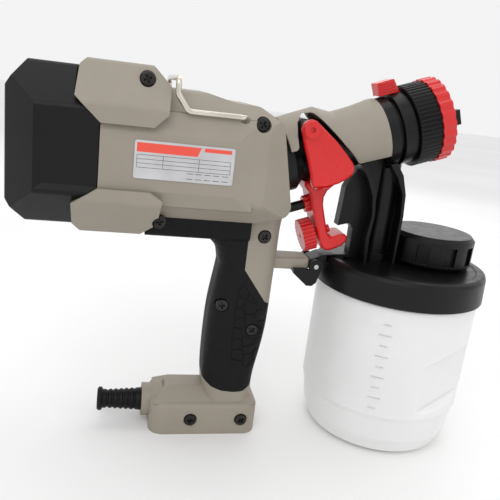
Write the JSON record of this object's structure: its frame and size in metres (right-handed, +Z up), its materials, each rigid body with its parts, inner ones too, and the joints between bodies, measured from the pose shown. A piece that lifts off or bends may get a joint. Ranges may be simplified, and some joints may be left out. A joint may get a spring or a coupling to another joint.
{
  "type": "hvlp spray gun",
  "caption": "Electric paint sprayer with a motor housing and pistol grip, a detachable spray head with a trigger, and a screw-on paint cup.",
  "frame": {"origin": "centre of the cup's flat base, which stands level with the bottom of the handle's foot", "axes": "+X the way it sprays, +Z up, +Y to the left seen from behind"},
  "size_m": [0.3006, 0.1112, 0.2387],
  "materials": {
    "housing_plastic": "fine texture",
    "cover_plastic": "fine texture",
    "cap_plastic": "satin",
    "grip_rubber": "soft matte",
    "boot_rubber": "matte",
    "head_plastic": "satin",
    "red_plastic": "glossy",
    "cup_plastic": "translucent",
    "tube_plastic": "translucent",
    "gasket_rubber": "matte",
    "plate_foil": "satin",
    "screw_steel": "blackened",
    "hook_wire": "bright",
    "pin_steel": "ground",
    "nozzle_brass": "machined",
    "iron_core": "laminated",
    "copper_bars": "turned",
    "carbon": "matte",
    "inner_plastic": "matte",
    "filter_foam": "open foam"
  },
  "bodies": {
    "motor_unit": {"housing_right": "housing_plastic", "housing_left": "housing_plastic", "grip_right": "grip_rubber", "grip_left": "grip_rubber", "nameplate": "plate_foil", "cord_boot": "boot_rubber", "cord_clamp": "inner_plastic", "shell_screws": "screw_steel", "front_bracket": "inner_plastic", "rear_bracket": "inner_plastic", "front_bearing": "pin_steel", "rear_bearing": "pin_steel", "stator": "iron_core", "brush_holders": "copper_bars", "carbon_brushes": "carbon", "fan_shroud": "inner_plastic", "power_switch": "inner_plastic"},
    "filter_cap": {"rear_cap": "cap_plastic", "air_filter": "filter_foam"},
    "armature": {"armature_shaft": "pin_steel", "armature_core": "iron_core", "commutator": "copper_bars", "turbine_wheel": "inner_plastic"},
    "hook": {"hanging_hook": "hook_wire"},
    "spray_head": {"air_barrel": "head_plastic", "head_cover": "cover_plastic", "neck": "head_plastic", "fluid_nozzle": "nozzle_brass", "lid": "head_plastic", "lid_gasket": "gasket_rubber", "pickup_tube": "tube_plastic", "latch_bracket": "head_plastic", "latch_pin": "pin_steel", "needle_spring": "pin_steel", "trigger_pivots": "red_plastic"},
    "trigger": {"trigger": "red_plastic"},
    "flow_knob": {"flow_knob": "red_plastic"},
    "plunger": {"switch_plunger": "head_plastic", "plunger_nut": "red_plastic"},
    "needle": {"fluid_needle": "pin_steel"},
    "selector": {"selector_ring": "head_plastic", "selector_tab": "red_plastic"},
    "collar_nut": {"collar_nut": "head_plastic"},
    "air_cap": {"air_cap": "head_plastic", "pattern_ring": "red_plastic"},
    "filler_cap": {"filler_cap": "head_plastic"},
    "cup": {"cup": "cup_plastic"},
    "latch": {"latch": "head_plastic"}
  },
  "joints": [
    {"name": "filter_cap_off", "type": "slide", "parent": "motor_unit", "child": "filter_cap", "axis": [-1, 0, 0], "range_m": [0, 0.025]},
    {"name": "motor_spin", "type": "hinge", "parent": "motor_unit", "child": "armature", "pos_m": [-0.16, 0, 0.178], "axis": [1, 0, 0], "continuous": true},
    {"name": "hook_swing", "type": "hinge", "parent": "motor_unit", "child": "hook", "pos_m": [-0.1235, 0, 0.2033], "axis": [0, 1, 0], "range_deg": [0, 110]},
    {"name": "head_release", "type": "slide", "parent": "motor_unit", "child": "spray_head", "axis": [0.9426, 0, 0.3338], "range_m": [0, 0.022]},
    {"name": "trigger_pull", "type": "hinge", "parent": "spray_head", "child": "trigger", "pos_m": [-0.08251, 0, 0.20019], "axis": [0, 1, 0], "range_deg": [0, 8], "stiffness_Nm_per_rad": 3, "springref_deg": -5.73},
    {"name": "plunger_push", "type": "slide", "parent": "motor_unit", "child": "plunger", "axis": [-0.9426, 0, -0.3338], "range_m": [0, 0.0072]},
    {"name": "needle_draw", "type": "slide", "parent": "spray_head", "child": "needle", "axis": [-0.9426, 0, -0.3338], "range_m": [0, 0.0025]},
    {"name": "flow_turn", "type": "hinge", "parent": "trigger", "child": "flow_knob", "pos_m": [-0.06843, 0, 0.13346], "axis": [0.9426, 0, 0.3338], "range_deg": [0, 180]},
    {"name": "selector_turn", "type": "hinge", "parent": "spray_head", "child": "selector", "pos_m": [-0.02438, 0, 0.2038], "axis": [0.9426, 0, 0.3338], "range_deg": [-45, 45]},
    {"name": "collar_turn", "type": "hinge", "parent": "spray_head", "child": "collar_nut", "pos_m": [-0.0093, 0, 0.20914], "axis": [0.9426, 0, 0.3338], "continuous": true},
    {"name": "pattern_turn", "type": "hinge", "parent": "spray_head", "child": "air_cap", "pos_m": [0.00107, 0, 0.21281], "axis": [0.9426, 0, 0.3338], "range_deg": [-90, 90]},
    {"name": "filler_turn", "type": "hinge", "parent": "spray_head", "child": "filler_cap", "pos_m": [0.0188, 0, 0.13], "axis": [0, 0, 1], "continuous": true},
    {"name": "cup_turn", "type": "hinge", "parent": "spray_head", "child": "cup", "pos_m": [0, 0, 0.06], "axis": [0, 0, 1], "continuous": true},
    {"name": "latch_swing", "type": "hinge", "parent": "spray_head", "child": "latch", "pos_m": [-0.0628, 0, 0.1153], "axis": [0, 1, 0], "range_deg": [-20, 0]}
  ],
  "couplings": [
    {"joint": "plunger_push", "follows": "trigger_pull", "m_per_rad": 0.048},
    {"joint": "needle_draw", "follows": "trigger_pull", "m_per_rad": 0.016}
  ]
}
